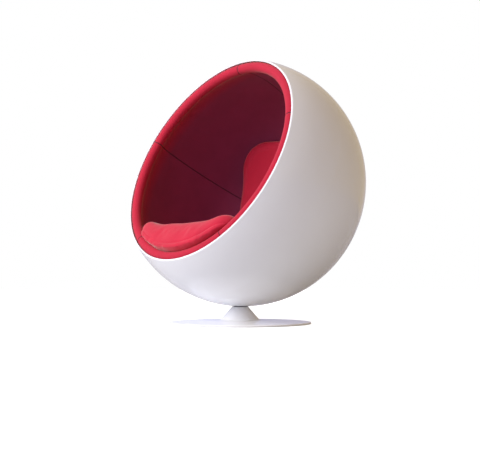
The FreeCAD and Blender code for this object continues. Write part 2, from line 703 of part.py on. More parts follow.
def cushion(name, inset, tilt, half_width, low_end, high_end, low_corner, high_corner, low_thickness,
            high_thickness, dish_long, dish_cross, edge_round):
    """A boxed cushion bedded in the lining. Its own z axis points from the wall to the sitter, its
    x axis across the chair, and its origin is the ball's centre. Its sides bulge between the panels
    and its sitting face is a wide hollow, crowned against the ball. The inset fits a core to a cover."""
    middle = (high_end - low_end) * 0.5
    half_length = (high_end + low_end) * 0.5
    levels = ((-fabric_inner - cushion_overrun, -cushion_draw_in), (-fabric_inner * 0.68, zero),
              (-fabric_inner * 0.25, -cushion_draw_in))
    loft = doc.addObject("Part::Loft", name + "_loft")
    loft.Sections = [
        cushion_outline(f"{name}_outline_{index}", tilt, half_width - inset + growth,
                        half_length - inset + growth, low_corner - inset, high_corner - inset,
                        middle, level)
        for index, (level, growth) in enumerate(levels)]
    loft.Solid = True
    bedded = common(name + "_bedded", [loft, bowl(name + "_bowl", cushion_gap + inset)])
    low_x = -low_end + edge_round
    high_x = high_end - edge_round
    low_y = low_thickness - leg(seat_ball, low_x)
    high_y = high_thickness - leg(seat_ball, high_x)
    run = high_x - low_x
    rise = high_y - low_y
    chord = length_of(run, rise)
    sag = dish_long - leg(dish_long, chord * 0.5)
    lift = dish_cross - sag
    centre_y = (low_x + high_x) * 0.5 - rise / chord * lift
    centre_z = (low_y + high_y) * 0.5 + run / chord * lift
    if dish_cross is dish_long:
        dish = ball(name + "_dish", dish_long + inset)
    else:
        dish = doc.addObject("Part::Torus", name + "_dish")
        bind(dish, "Radius1", dish_cross - dish_long)
        bind(dish, "Radius2", dish_long + inset)
    tilted = (f"placement(vector(0; {ball_setback.text}; {ball_height.text}); "
              f"rotation(vector(1; 0; 0); {tilt.text}))")
    lean = f"rotation(vector(1; 0; 0); atan2({rise.text}; {run.text}) - 90 deg)"
    own = f"placement(vector(0; {centre_y.text}; {centre_z.text}); {lean})"
    dish.setExpression("Placement", f"{tilted} * {own}")
    hollow = cut(name + "_hollowed", bedded, dish)
    doc.recompute()
    rounded = doc.addObject("Part::Fillet", name + "_rounded")
    rounded.Base = hollow
    radius = (edge_round - inset).value
    rounded.Edges = [(number, radius, radius)
                     for number in edges_on(hollow.Shape, dish.Shape.Faces[0])]
    return rounded


def edges_on(solid, face):
    """The numbers of a solid's edges that lie on a face."""
    numbers = []
    for number, curve in enumerate(solid.Edges, 1):
        spots = [curve.valueAt(curve.FirstParameter + (curve.LastParameter - curve.FirstParameter) * share)
                 for share in (0.2, 0.5, 0.8)]
        gaps = [face.distToShape(Part.Vertex(spot))[0] for spot in spots]
        if max(gaps) < 0.01:
            numbers.append(number)
    return numbers


def seam_ball(name, tilt, depth):
    """The seam between a cover's two panels lies on the lining's ball, moved towards the sitter."""
    solid = ball(name, seat_ball)
    place(solid, y=ball_setback, z=ball_height, about="x", angle=tilt, drop=depth)
    return solid


def upholster(name, tilt, seam_depth, front_label, rear_label, *shape):
    """A foam core in a cover of two sewn panels."""
    outside = cushion(name + "_outside", zero, tilt, *shape)
    inside = cushion(name + "_inside", cover_thickness, tilt, *shape)
    core = cushion(name + "_core", cover_thickness + glue_gap, tilt, *shape)
    finish(core, name + "_foam")
    cover = cut(name + "_cover", outside, inside)
    front_side = seam_ball(name + "_front_side", tilt, seam_depth)
    finish(common(name + "_front_panel", [cover, front_side]), front_label)
    rear_cut = seam_ball(name + "_rear_cut", tilt, seam_depth)
    finish(cut(name + "_rear_panel", cover, rear_cut), rear_label)


upholster("seat_cushion", seat_tilt, seat_seam_depth, "seat_cushion_top_cover", "seat_cushion_base_cover",
          seat_half_width, seat_front, seat_back, seat_front_corner, seat_back_corner,
          seat_front_thickness, seat_back_thickness, seat_dish_long, seat_dish_cross, seat_edge_round)
upholster("back_cushion", back_tilt, back_seam_depth, "back_cushion_front_cover", "back_cushion_rear_cover",
          back_half_width, back_lower, back_upper, back_lower_corner, back_upper_corner,
          back_lower_thickness, back_upper_thickness, back_dish, back_dish, back_edge_round)

doc.recompute()
for thing in doc.Objects:
    if "Invalid" in thing.State or "Error" in thing.State:
        raise RuntimeError(f"{thing.Name} failed: {thing.State}")
for part in parts:
    if part.Shape.isNull() or not part.Shape.isValid():
        raise RuntimeError(f"{part.Label} has no valid shape")

os.makedirs("parts", exist_ok=True)
for part in parts:
    part.Shape.exportStep(os.path.join("parts", part.Label + ".step"))
    print(f"{part.Label}: {len(part.Shape.Solids)} solids, {part.Shape.Volume:.0f} mm3")
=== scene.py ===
import math

import bmesh
import bpy
from bpy.props import FloatProperty, FloatVectorProperty, IntProperty, PointerProperty
from mathutils import Matrix, Vector, noise


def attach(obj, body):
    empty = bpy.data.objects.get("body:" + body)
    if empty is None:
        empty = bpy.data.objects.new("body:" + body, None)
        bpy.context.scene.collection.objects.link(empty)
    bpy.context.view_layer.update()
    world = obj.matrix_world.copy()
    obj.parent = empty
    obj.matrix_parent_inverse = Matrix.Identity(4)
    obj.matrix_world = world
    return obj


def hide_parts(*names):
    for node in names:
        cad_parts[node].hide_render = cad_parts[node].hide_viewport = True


bl_info = {
    "name": "Pod chair",
    "version": (1, 0, 0),
    "blender": (4, 5, 0),
    "location": "View3D > Sidebar > Pod chair",
    "description": "Upholstered swivel pod chair dressed over its CAD frame",
    "category": "Add Mesh",
}

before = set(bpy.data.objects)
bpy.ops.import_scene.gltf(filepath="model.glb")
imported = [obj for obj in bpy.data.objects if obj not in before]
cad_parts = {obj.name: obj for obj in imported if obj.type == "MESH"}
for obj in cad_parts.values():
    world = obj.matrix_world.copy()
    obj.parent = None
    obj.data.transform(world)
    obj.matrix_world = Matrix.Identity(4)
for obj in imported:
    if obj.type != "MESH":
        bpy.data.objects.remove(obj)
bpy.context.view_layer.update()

# How the lining's cloth sinks, in metres: at its seams, in puckers beside them and in slow waves.
SEAM_HALF_WIDTH = 0.003
PUCKER_REACH = 0.016
PUCKER_DEPTH = 0.0002
WAVE_DEPTH = 0.0003
WAVE_START = Vector((3.1, 7.7, 1.3))
DEEPEST_SINK = 0.0019

# A gore's mesh, as turns in radians and steps: fine beside both seams and even between them.
SEAM_STEPS = ((0.0015, 1), (0.002, 1), (0.003, 1), (0.005, 1), (0.01, 1))
EVEN_STEPS = 52

# The cushions: rounds of smoothing, the creases drawn by a seam as (share, width), where the sides
# stand up, and from where down to where a cushion spreads.
SMOOTHING_ROUNDS = 8
CREASES = ((0.55, 1.0), (0.45, 0.3))
CROWN_PLACE = 0.272
CROWN_WIDTH = 0.07
SPREAD_TOP = 0.22
SPREAD_RUN = 0.37
SPREAD_LIMIT = 0.6

# The room's light by direction, from the left of the picture to the right and the ceiling.
ROOM_SIDE = (0.56, 0.62, 0.55)
ROOM_LIGHT = 1.06
ROOM_STOPS = {0.0: (0.70, 0.68, 0.70, 1.0), 1.0: (0.35, 0.23, 0.09, 1.0),
              0.47: (0.61, 0.65, 1.0, 1.0), 0.74: (0.56, 0.46, 0.32, 1.0)}
FLOOR_GLOW = 0.85

# The photo's camera.
CAMERA_PLACE = (2.704, -2.425, 0.192)
CAMERA_TURN = (math.pi / 2, 0, math.radians(48.12))
CAMERA_LENS = 60.46
CAMERA_SHIFT = 0.1104


class BallSizes(bpy.types.PropertyGroup):
    """The ball, its opening and its lining."""

    radius: FloatProperty(name="Radius", description="Outer radius of the shell", default=0.55,
                          unit="LENGTH")
    height: FloatProperty(name="Height", description="Height of the ball's centre", default=0.6274,
                          unit="LENGTH")
    setback: FloatProperty(name="Setback", description="Ball's centre behind the swivel axis",
                           default=0.017, unit="LENGTH")
    opening_lean: FloatProperty(name="Opening lean", description="Lean of the opening from upright",
                                default=math.radians(24.1), subtype="ANGLE")
    opening_offset: FloatProperty(name="Opening offset", description="Opening's plane from the centre",
                                  default=0.2442, unit="LENGTH")
    shell_wall: FloatProperty(name="Shell wall", description="Thickness of the shell", default=0.007,
                              unit="LENGTH")


class LiningSizes(bpy.types.PropertyGroup):
    """The cloth lining and the padded roll round the opening."""

    inner_radius: FloatProperty(name="Inner radius", description="Radius of the lining's bowl",
                                default=0.5146, unit="LENGTH")
    cloth: FloatProperty(name="Cloth", description="Thickness of the cloth", default=0.0012, unit="LENGTH")
    roll_ring: FloatProperty(name="Roll ring", description="Radius of the roll's centre line",
                             default=0.466982, unit="LENGTH")
    roll_level: FloatProperty(name="Roll level", description="Level of the roll's centre line",
                              default=0.223, unit="LENGTH")
    roll_radius: FloatProperty(name="Roll radius", description="Radius of the covered roll",
                               default=0.0222, unit="LENGTH")
    blend_radius: FloatProperty(name="Blend radius", description="Radius between bowl and roll",
                                default=0.1168, unit="LENGTH")
    panels: IntProperty(name="Panels", description="Cloth panels round the opening", default=5)
    seam_depth: FloatProperty(name="Seam depth", description="How far a seam draws the cloth in",
                              default=0.0016, unit="LENGTH")


class CushionSizes(bpy.types.PropertyGroup):
    """The two loose cushions."""

    grain: FloatProperty(name="Grain", description="Size of a cushion's mesh faces", default=0.007,
                         unit="LENGTH")
    swell: FloatProperty(name="Swell", description="Most that the filling lifts the cover", default=0.006,
                         unit="LENGTH")
    seam_depth: FloatProperty(name="Seam depth", description="How far the seam draws the cover in",
                              default=0.004, unit="LENGTH")
    seam_width: FloatProperty(name="Seam width", description="Half width of the drawn-in strip",
                              default=0.008, unit="LENGTH")


class FinishColours(bpy.types.PropertyGroup):
    """Colours of the finishes."""

    gelcoat: FloatVectorProperty(name="Gelcoat", description="White of the shell", subtype="COLOR",
                                 default=(0.85, 0.86, 0.89), min=0.0, max=1.0)
    lacquer: FloatVectorProperty(name="Lacquer", description="White of the base", subtype="COLOR",
                                 default=(0.96, 0.96, 0.96), min=0.0, max=1.0)
    lining: FloatVectorProperty(name="Lining wool", description="Red of the lining", subtype="COLOR",
                                default=(0.45, 0.009, 0.034), min=0.0, max=1.0)
    # Painted shade: a darker red laid on the lining in the bowl behind the roll, standing in for the shade
    # there.
    painted_shade_lining: FloatVectorProperty(name="Shaded lining", description="Red of the lining in the bowl",
                                     subtype="COLOR", default=(0.25, 0.028, 0.075), min=0.0, max=1.0)
    cushion: FloatVectorProperty(name="Cushion wool", description="Red of the cushions", subtype="COLOR",
                                 default=(0.50, 0.009, 0.036), min=0.0, max=1.0)
    floor: FloatVectorProperty(name="Floor", description="Pale floor", subtype="COLOR",
                               default=(0.62, 0.62, 0.62), min=0.0, max=1.0)


def sizes():
    return bpy.context.scene.pod_ball, bpy.context.scene.pod_lining


def colours():
    return bpy.context.scene.pod_colours


def opening_matrix():
    """From the opening's own frame, with z out of the mouth and y up in its plane, to the chair's."""
    ball, _ = sizes()
    turn = Matrix.Rotation(math.pi / 2 - ball.opening_lean, 4, "X")
    return Matrix.Translation((0, ball.setback, ball.height)) @ turn


def add_piece(name, bm, body, material):
    """Turn a bmesh into a piece that rides on a body and takes one finish."""
    mesh = bpy.data.meshes.new(name)
    bm.to_mesh(mesh)
    bm.free()
    mesh.shade_smooth()
    piece = bpy.data.objects.new(name, mesh)
    bpy.context.scene.collection.objects.link(piece)
    mesh.materials.append(material)
    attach(piece, body)
    return piece


def merged_copy(node):
    """A bmesh of a CAD node with its loose triangles joined."""
    bm = bmesh.new()
    bm.from_mesh(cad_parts[node].data)
    bmesh.ops.remove_doubles(bm, verts=bm.verts, dist=1e-5)
    return bm


class Shader:
    """A small hand for laying out a material's nodes."""

    def __init__(self, name, colour, roughness, metallic=0.0):
        self.material = bpy.data.materials.new(name)
        self.material.use_nodes = True
        self.tree = self.material.node_tree
        self.surface = self.tree.nodes["Principled BSDF"]
        self.surface.inputs["Base Color"].default_value = (*colour, 1.0)
        self.surface.inputs["Roughness"].default_value = roughness
        self.surface.inputs["Metallic"].default_value = metallic
        self.place = self.node("ShaderNodeTexCoord").outputs["Object"]

    def node(self, kind, **settings):
        made = self.tree.nodes.new(kind)
        for key, value in settings.items():
            setattr(made, key, value)
        return made

    def link(self, source, socket):
        self.tree.links.new(source, socket)

    def noise(self, scale, detail=3.0, roughness=0.5, stretch=(1.0, 1.0, 1.0)):
        mapping = self.node("ShaderNodeMapping")
        mapping.inputs["Scale"].default_value = stretch
        self.link(self.place, mapping.inputs["Vector"])
        texture = self.node("ShaderNodeTexNoise")
        texture.inputs["Scale"].default_value = scale
        texture.inputs["Detail"].default_value = detail
        texture.inputs["Roughness"].default_value = roughness
        self.link(mapping.outputs["Vector"], texture.inputs["Vector"])
        return texture.outputs["Fac"]

    def spread(self, value, low, high, start=0.0, end=1.0):
        """Map a texture's value from low..high to start..end."""
        mapped = self.node("ShaderNodeMapRange")
        mapped.inputs["From Min"].default_value = low
        mapped.inputs["From Max"].default_value = high
        mapped.inputs["To Min"].default_value = start
        mapped.inputs["To Max"].default_value = end
        self.link(value, mapped.inputs["Value"])
        return mapped.outputs["Result"]

    def mix(self, share, dark, light):
        mixed = self.node("ShaderNodeMix", data_type="RGBA")
        self.link(share, mixed.inputs["Factor"])
        mixed.inputs["A"].default_value = (*dark, 1.0)
        mixed.inputs["B"].default_value = (*light, 1.0)
        return mixed.outputs["Result"]

    def blend(self, share, first, second):
        """Mix two textures' colours."""
        mixed = self.node("ShaderNodeMix", data_type="RGBA")
        self.link(share, mixed.inputs["Factor"])
        self.link(first, mixed.inputs["A"])
        self.link(second, mixed.inputs["B"])
        return mixed.outputs["Result"]

    def maths(self, operation, *values):
        """A sum on numbers or other nodes' values."""
        made = self.node("ShaderNodeMath", operation=operation)
        for socket, value in zip(made.inputs, values):
            if isinstance(value, float):
                socket.default_value = value
            else:
                self.link(value, socket)
        return made.outputs["Value"]

    def along(self, axis):
        """How far a point lies along an axis."""
        made = self.node("ShaderNodeVectorMath", operation="DOT_PRODUCT")
        self.link(self.place, made.inputs[0])
        made.inputs[1].default_value = axis
        return made.outputs["Value"]

    def flat(self, colour):
        """One even colour."""
        made = self.node("ShaderNodeRGB")
        made.outputs["Color"].default_value = (*colour, 1.0)
        return made.outputs["Color"]

    def bump(self, height, distance, strength=1.0, after=None):
        raised = self.node("ShaderNodeBump")
        raised.inputs["Distance"].default_value = distance
        raised.inputs["Strength"].default_value = strength
        self.link(height, raised.inputs["Height"])
        if after is not None:
            self.link(after, raised.inputs["Normal"])
        return raised.outputs["Normal"]

    def colour_from(self, value):
        self.link(value, self.surface.inputs["Base Color"])

    def roughness_from(self, value):
        self.link(value, self.surface.inputs["Roughness"])

    def normal_from(self, value):
        self.link(value, self.surface.inputs["Normal"])


def shade(colour, amount):
    return tuple(channel * amount for channel in colour)


def wool(name, colour, nap, painted_shade=None):
    """Felted upholstery wool: fine matted fibres with a soft nap. A second, darker colour is painted
    shade for a lining: it darkens the bowl behind its roll, and a painted dark shade line marks its seams,
    where the cloth is drawn in."""
    cloth = Shader(name, colour, 0.85)
    patches = cloth.noise(9.0, 4.0, 0.6)
    fibres = cloth.noise(900.0, 4.0, 0.7)
    tone = cloth.node("ShaderNodeMath", operation="ADD")
    cloth.link(cloth.spread(patches, 0.3, 0.7, 0.0, 0.45), tone.inputs[0])
    cloth.link(cloth.spread(fibres, 0.25, 0.75, 0.0, 0.55), tone.inputs[1])
    # The wool's own colour, and for a lining also its painted shade colour, each varied by the random
    # tone.
    faces = [cloth.mix(tone.outputs["Value"], shade(colour_and_painted_shade, 0.86), shade(colour_and_painted_shade, 1.14))
             for colour_and_painted_shade in (colour, painted_shade) if colour_and_painted_shade is not None]
    cloth.colour_from(faces[0] if painted_shade is None else painted_lining_shade(cloth, *faces))
    coarse = cloth.bump(cloth.noise(420.0, 5.0, 0.65), 0.0006, 0.5)
    cloth.normal_from(cloth.bump(fibres, 0.0003, 0.45, coarse))
    cloth.surface.inputs["Sheen Weight"].default_value = nap
    cloth.surface.inputs["Sheen Roughness"].default_value = 0.4
    cloth.surface.inputs["Sheen Tint"].default_value = (1.0, 0.82, 0.72, 1.0)
    cloth.surface.inputs["Specular IOR Level"].default_value = 0.3
    return cloth.material


def painted_lining_shade(cloth, lit, shaded):
    """Painted light and shade: the lit colour on the roll, the painted shaded one in the bowl, and a
    painted dark shade line at each seam.
    """
    ball, lining = sizes()
    turn = opening_matrix().to_3x3()
    centre = Vector((0, ball.setback, ball.height))
    outward = turn @ Vector((0, 0, 1))
    upward = turn @ Vector((0, 1, 0))
    level = cloth.maths("SUBTRACT", cloth.along(outward), outward.dot(centre))
    # Painted shade: from the bowl out to the roll, the colour goes from the painted shaded red to the lit
    # red.
    rolled = cloth.spread(level, 0.115, 0.205)
    height = cloth.maths("SUBTRACT", cloth.along(upward), upward.dot(centre))
    angle = cloth.maths("ARCTAN2", cloth.along((1.0, 0.0, 0.0)), height)
    off_seam = cloth.maths("PINGPONG", angle, math.pi / lining.panels)
    # Painted shade: a flat near-black red within a few thousandths of a radian of each seam, standing in
    # for the shade in the seam's groove.
    clear_of_seam_shade = cloth.spread(off_seam, 0.0025, 0.0065)
    return cloth.blend(clear_of_seam_shade, cloth.flat((0.045, 0.004, 0.012)), cloth.blend(rolled, shaded, lit))


def gelcoat(name, colour):
    """Polished white gelcoat with the faintest orange peel."""
    coat = Shader(name, colour, 0.22)
    peel = coat.noise(60.0, 2.0, 0.4)
    waves = coat.noise(7.0, 2.0, 0.4)
    coat.normal_from(coat.bump(peel, 0.00015, 0.12, coat.bump(waves, 0.001, 0.1)))
    coat.colour_from(coat.mix(waves, shade(colour, 0.985), colour))
    coat.surface.inputs["Coat Weight"].default_value = 0.6
    coat.surface.inputs["Coat Roughness"].default_value = 0.08
    return coat.material


def lacquer(name, colour):
    """Gloss lacquer on a casting."""
    coat = Shader(name, colour, 0.3)
    peel = coat.noise(160.0, 3.0, 0.5)
    coat.normal_from(coat.bump(peel, 0.0002, 0.15))
    coat.colour_from(coat.mix(coat.noise(12.0), shade(colour, 0.97), colour))
    coat.surface.inputs["Coat Weight"].default_value = 0.4
    coat.surface.inputs["Coat Roughness"].default_value = 0.12
    return coat.material


def machined(name, colour, roughness, grain):
    """Turned or rolled metal, with fine marks."""
    metal = Shader(name, colour, roughness, 1.0)
    marks = metal.noise(grain, 4.0, 0.6, (1.0, 1.0, 6.0))
    metal.colour_from(metal.mix(marks, shade(colour, 0.8), colour))
    metal.roughness_from(metal.spread(marks, 0.2, 0.8, roughness * 0.8, roughness * 1.3))
    metal.normal_from(metal.bump(marks, 0.0001, 0.3))
    return metal.material


def felt(name, colour):
    """Dense wool felt."""
    mat = Shader(name, colour, 0.95)
    fibres = mat.noise(700.0, 5.0, 0.7)
    mat.colour_from(mat.mix(fibres, shade(colour, 0.6), shade(colour, 1.4)))
    mat.normal_from(mat.bump(fibres, 0.0005, 0.6))
    mat.surface.inputs["Sheen Weight"].default_value = 0.2
    return mat.material


def foam(name, colour):
    """Open-cell foam."""
    cells = Shader(name, colour, 0.9)
    holes = cells.node("ShaderNodeTexVoronoi", feature="F1")
    holes.inputs["Scale"].default_value = 450.0
    cells.link(cells.place, holes.inputs["Vector"])
    cells.colour_from(cells.mix(holes.outputs["Distance"], shade(colour, 0.7), colour))
    cells.normal_from(cells.bump(holes.outputs["Distance"], 0.0008, 0.7))
    return cells.material


def plywood(name, colour):
    """Bent plywood with its plies along the strip."""
    wood = Shader(name, colour, 0.6)
    grain = wood.noise(30.0, 5.0, 0.6, (1.0, 1.0, 12.0))
    wood.colour_from(wood.mix(grain, shade(colour, 0.65), shade(colour, 1.1)))
    wood.normal_from(wood.bump(grain, 0.0003, 0.4))
    return wood.material


NODE_FINISHES = {
    "gelcoat": ("shell",),
    "lacquer": ("pedestal_base",),
    "zinc steel": ("plate_bolts", "plate_washers", "spindle_washer", "spindle_nut", "ballast_screws"),
    "steel plate": ("swivel_plate", "ballast_plate"),
    "ground steel": ("spindle", "lower_bearing_race", "upper_bearing_race", "bearing_balls"),
    "brass": ("threaded_inserts", "bearing_cage"),
    "bronze": ("upper_bush", "lower_bush"),
    "felt": ("floor_pad", "dust_seal"),
    "foam": ("lining_foam", "rim_roll_foam"),
    "plywood": ("tack_strip",),
}


class POD_OT_finish_hardware(bpy.types.Operator):
    """Give the shell, the base, the swivel and the inner parts their finishes"""

    bl_idname = "pod.finish_hardware"
    bl_label = "Finish hardware"

    def execute(self, context):
        made = {
            "gelcoat": gelcoat("white gelcoat", colours().gelcoat),
            "lacquer": lacquer("white lacquer", colours().lacquer),
            "zinc steel": machined("zinc plated steel", (0.62, 0.63, 0.65), 0.35, 300.0),
            "steel plate": machined("rolled steel plate", (0.32, 0.32, 0.34), 0.5, 90.0),
            "ground steel": machined("ground steel", (0.68, 0.68, 0.7), 0.18, 500.0),
            "brass": machined("turned brass", (0.72, 0.55, 0.25), 0.3, 400.0),
            "bronze": machined("oiled bronze", (0.5, 0.33, 0.17), 0.45, 350.0),
            "felt": felt("dark felt", (0.035, 0.035, 0.037)),
            "foam": foam("pale foam", (0.78, 0.7, 0.5)),
            "plywood": plywood("bent plywood", (0.6, 0.42, 0.24)),
        }
        for finish, nodes in NODE_FINISHES.items():
            for node in nodes:
                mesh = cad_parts[node].data
                mesh.materials.clear()
                mesh.materials.append(made[finish])
        return {"FINISHED"}


def roll_section():
    """Where the lining's section curves: the blend's centre and the roll's, as (radius, level)."""
    _, lining = sizes()
    blend_reach = lining.inner_radius - lining.blend_radius
    touch_reach = lining.blend_radius + lining.roll_radius
    roll = Vector((lining.roll_ring, 0, lining.roll_level))
    along = (blend_reach ** 2 + roll.length ** 2 - touch_reach ** 2) / (2 * roll.length)
    across = math.sqrt(blend_reach ** 2 - along ** 2)
    ahead = roll.normalized()
    return ahead * along + Vector((ahead.z, 0, -ahead.x)) * across, roll


def swing(bm, start, centre, angle, steps):
    """Draw an arc from a vertex, about the y axis through a centre, and return its last vertex."""
    drawn = bmesh.ops.spin(bm, geom=[start], cent=centre, axis=(0, 1, 0), angle=angle, steps=steps)
    return [item for item in drawn["geom_last"] if isinstance(item, bmesh.types.BMVert)][0]


def draw_lining_section(bm):
    """The visible side of the cloth, from the back pole over the bowl and the roll to its tuck."""
    _, lining = sizes()
    blend, roll = roll_section()
    bowl_turn = math.atan2(blend.z, blend.x) + math.pi / 2
    blend_turn = math.atan2(roll.z - blend.z, roll.x - blend.x) - math.atan2(blend.z, blend.x)
    roll_turn = math.atan2(roll.z - blend.z, roll.x - blend.x) + math.pi
    pole = bm.verts.new((0.001, 0, -lining.inner_radius))
    bowl_end = swing(bm, pole, (0, 0, 0), -bowl_turn, 96)
    blend_end = swing(bm, bowl_end, blend, -blend_turn, 9)
    roll_end = swing(bm, blend_end, roll, roll_turn, 30)
    tucked = bmesh.ops.extrude_vert_indiv(bm, verts=[roll_end])
    bmesh.ops.translate(bm, verts=tucked["verts"], vec=(0, 0, -lining.roll_radius))


def lay_cloth(point, seam_gap, lining):
    """How far the cloth sinks at a point of the opening's frame, by its distance to the seam."""
    seam = lining.seam_depth * math.exp(-(seam_gap / SEAM_HALF_WIDTH) ** 2)
    pucker = math.sin(point.z * 180.0 + point.x * 25.0) * math.exp(-seam_gap / PUCKER_REACH)
    wave = noise.noise(point * 9.0 + WAVE_START)
    return min(DEEPEST_SINK, seam + PUCKER_DEPTH * (1.0 + pucker) + WAVE_DEPTH * (1.0 + wave))


def sew_panel(index, wool_cloth):
    """One cloth panel of the lining, between two seams."""
    _, lining = sizes()
    bm = bmesh.new()
    draw_lining_section(bm)
    sweep = 2 * math.pi / lining.panels
    first = math.pi / 2 - sweep * (index + 1)
    bmesh.ops.rotate(bm, verts=bm.verts, cent=(0, 0, 0), matrix=Matrix.Rotation(first, 3, "Z"))
    even = sweep - 2 * sum(turn for turn, _ in SEAM_STEPS)
    strip = bm.verts[:] + bm.edges[:]
    for turn, steps in SEAM_STEPS + ((even, EVEN_STEPS),) + tuple(reversed(SEAM_STEPS)):
        swept = bmesh.ops.spin(bm, geom=strip, cent=(0, 0, 0), axis=(0, 0, 1), angle=turn, steps=steps)
        strip = swept["geom_last"]
    bmesh.ops.remove_doubles(bm, verts=bm.verts, dist=1e-6)
    bmesh.ops.recalc_face_normals(bm, faces=bm.faces)
    nearest = min(bm.faces, key=lambda face: abs(face.calc_center_median().z))
    if nearest.normal.dot(nearest.calc_center_median()) > 0:
        bmesh.ops.reverse_faces(bm, faces=bm.faces)
    bm.normal_update()
    for vertex in bm.verts:
        reach = math.hypot(vertex.co.x, vertex.co.y)
        turn = (math.atan2(vertex.co.y, vertex.co.x) - first) % (2 * math.pi)
        turn = turn if turn < sweep * 1.5 else 0.0
        gap = reach * max(0.0, min(turn, sweep - turn))
        vertex.co -= vertex.normal * lay_cloth(vertex.co, gap, lining)
    bmesh.ops.solidify(bm, geom=bm.faces[:], thickness=lining.cloth)
    bmesh.ops.transform(bm, matrix=opening_matrix(), verts=bm.verts)
    piece = add_piece(f"lining_cloth_{index + 1}", bm, "ball", wool_cloth)
    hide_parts(f"lining_panel_{index + 1}")


class POD_OT_line_ball(bpy.types.Operator):
    """Sew the lining's cloth panels and lay them over the bowl and the roll"""

    bl_idname = "pod.line_ball"
    bl_label = "Line the ball"

    def execute(self, context):
        _, lining = sizes()
        cloth = wool("lining wool", colours().lining, 0.2, colours().painted_shade_lining)
        for index in range(lining.panels):
            sew_panel(index, cloth)
        return {"FINISHED"}


def press_into_bowl(point, clearance):
    """Keep a point of the opening's frame inside the lining and its roll."""
    _, lining = sizes()
    blend, roll = roll_section()
    flat = Vector((math.hypot(point.x, point.y), 0, point.z))
    from_blend = flat - blend
    along_bowl = math.atan2(flat.z, flat.x) < math.atan2(blend.z, blend.x)
    room = lining.inner_radius - clearance
    if along_bowl:
        held = flat if flat.length <= room else flat.normalized() * room
    else:
        held = flat
        beside_roll = flat - roll
        gap = lining.roll_radius + clearance
        if beside_roll.length < gap:
            held = roll + beside_roll.normalized() * gap
        elif math.atan2(from_blend.z, from_blend.x) < math.atan2(roll.z - blend.z, roll.x - blend.x):
            reach = lining.blend_radius - clearance
            if from_blend.length > reach:
                held = blend + from_blend.normalized() * reach
    if flat.length < 1e-6 or held is flat:
        return point
    share = held.x / flat.x if flat.x > 1e-6 else 1.0
    return Vector((point.x * share, point.y * share, held.z))


def swell_cover(piece, cap):
    """Fill a cover: a cloth under pressure, from which no point moves further than the cap."""
    before = [vertex.co.copy() for vertex in piece.data.vertices]
    cloth = piece.modifiers.new("filling", "CLOTH")
    cloth.settings.quality = 5
    cloth.settings.mass = 0.3
    cloth.settings.tension_stiffness = 15.0
    cloth.settings.compression_stiffness = 15.0
    cloth.settings.shear_stiffness = 5.0
    cloth.settings.bending_stiffness = 0.5
    cloth.settings.use_pressure = True
    cloth.settings.uniform_pressure_force = 4.0
    cloth.settings.effector_weights.gravity = 0.0
    cloth.collision_settings.use_collision = False
    scene = bpy.context.scene
    for number in range(1, 21):
        scene.frame_set(number)
    graph = bpy.context.evaluated_depsgraph_get()
    blown = piece.evaluated_get(graph).data
    after = [vertex.co.copy() for vertex in blown.vertices]
    piece.modifiers.remove(cloth)
    scene.frame_set(1)
    for vertex, old, new in zip(piece.data.vertices, before, after):
        move = new - old
        if move.length > cap:
            move = move.normalized() * cap
        vertex.co = old + move


def upholster(name, core, covers, tilt, seam_level, crown, spread, cloth):
    """A filled cushion from its CAD core: remeshed, swollen, sewn along its seam and bedded in the
    lining. The seam runs where the cover meets a ball like the lining's, moved towards the sitter.
    The crown is how far the filling stands up along both sides, and the spread how much wider the
    cushion sits at its lower end, as a share."""
    ball, lining = sizes()
    form = bpy.context.scene.pod_cushions
    start = add_piece(name, merged_copy(core), "ball", cloth)
    remesh = start.modifiers.new("even mesh", "REMESH")
    remesh.mode = "VOXEL"
    remesh.voxel_size = form.grain
    remesh.use_smooth_shade = True
    graph = bpy.context.evaluated_depsgraph_get()
    even = bpy.data.meshes.new_from_object(start.evaluated_get(graph))
    start.modifiers.clear()
    start.data = even
    swell_cover(start, form.swell)
    bm = bmesh.new()
    bm.from_mesh(start.data)
    for _ in range(SMOOTHING_ROUNDS):
        bmesh.ops.smooth_vert(bm, verts=bm.verts, factor=0.5, use_axis_x=True, use_axis_y=True,
                              use_axis_z=True)
    bmesh.ops.subdivide_edges(bm, edges=bm.edges, cuts=1, smooth=1.0, use_grid_fill=True)
    bmesh.ops.recalc_face_normals(bm, faces=bm.faces)
    bm.normal_update()
    centre = Vector((0, ball.setback, ball.height))
    axis = Matrix.Rotation(tilt, 3, "X") @ Vector((0, 0, 1))
    upward = Matrix.Rotation(tilt, 3, "X") @ Vector((0, 1, 0))
    seam_centre = centre + axis * seam_level
    seam_reach = lining.inner_radius - 0.0004
    to_opening = opening_matrix().inverted()
    for vertex in bm.verts:
        gap = (vertex.co - seam_centre).length - seam_reach
        drift = 0.0008 * noise.noise(vertex.co * 11.0)
        crease = form.seam_depth * sum(share * math.exp(-(gap / (form.seam_width * width)) ** 2)
                                       for share, width in CREASES)
        beside = math.exp(-((abs(vertex.co.x) - CROWN_PLACE) / CROWN_WIDTH) ** 2)
        lift = crown * max(0.0, vertex.normal.dot(axis)) * beside
        lowness = (SPREAD_TOP - upward.dot(vertex.co - centre)) / SPREAD_RUN
        lowness = min(SPREAD_LIMIT, max(0.0, lowness))
        vertex.co += vertex.normal * (drift - crease) + axis * lift
        vertex.co.x *= 1.0 + spread * lowness
        vertex.co = opening_matrix() @ press_into_bowl(to_opening @ vertex.co, 0.0005)
    bm.to_mesh(start.data)
    bm.free()
    start.data.shade_smooth()
    start.data.materials.clear()
    start.data.materials.append(cloth)
    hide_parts(core, *covers)


